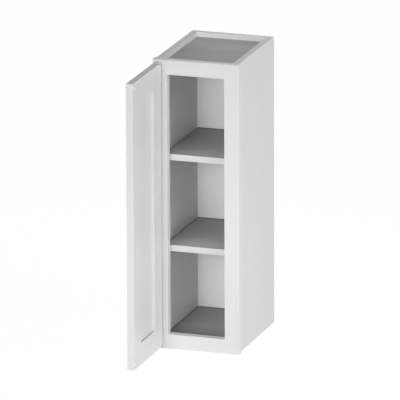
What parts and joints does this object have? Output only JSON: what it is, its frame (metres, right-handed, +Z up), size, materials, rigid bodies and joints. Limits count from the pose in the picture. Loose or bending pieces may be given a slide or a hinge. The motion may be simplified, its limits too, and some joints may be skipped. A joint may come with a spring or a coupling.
{
  "type": "kitchen wall cabinet",
  "caption": "Narrow framed kitchen wall cabinet: open box with shelves behind a face frame, and a full-overlay shaker door hinged on the left.",
  "frame": {"origin": "bottom centre of the back (wall) face, on the cabinet's centre line", "axes": "+X to the right seen from the front, +Y into the wall, +Z up; the front of the cabinet faces -Y"},
  "size_m": [0.2286, 0.5336, 0.762],
  "materials": {
    "white_paint": "satin white paint on hardwood",
    "white_board": "white faced plywood, satin",
    "grey_board": "grey faced plywood, matt",
    "edge_band": "white edge band",
    "coated_steel": "white powder coat on steel strap",
    "plated_steel": "zinc plate",
    "nylon": "natural nylon",
    "soft_buffer": "milky soft polyurethane"
  },
  "bodies": {
    "cabinet": {"frame_stile_left": "white_paint", "frame_stile_right": "white_paint", "frame_rail_top": "white_paint", "frame_rail_bottom": "white_paint", "side_panel_left": "white_board", "side_panel_right": "white_board", "top_panel": "grey_board", "bottom_panel": "grey_board", "back_panel": "white_board", "back_staples": "plated_steel", "shelf_lower": "grey_board", "shelf_upper": "grey_board", "shelf_edge_lower": "edge_band", "shelf_edge_upper": "edge_band", "shelf_pins_lower": "plated_steel", "shelf_pins_upper": "plated_steel", "pivot_bracket_top": "coated_steel", "pivot_bracket_bottom": "coated_steel", "pivot_pin_top": "plated_steel", "pivot_pin_bottom": "plated_steel", "bracket_screws": "plated_steel"},
    "door": {"door_stile_hinge": "white_paint", "door_stile_latch": "white_paint", "door_rail_top": "white_paint", "door_rail_bottom": "white_paint", "door_panel": "white_paint", "pivot_bush_top": "nylon", "pivot_bush_bottom": "nylon", "door_buffers": "soft_buffer"}
  },
  "joints": [
    {"name": "door_hinge", "type": "hinge", "parent": "cabinet", "child": "door", "pos_m": [-0.1023, -0.32105, 0.381], "axis": [0, 0, 1], "range_deg": [-20, 90]}
  ]
}
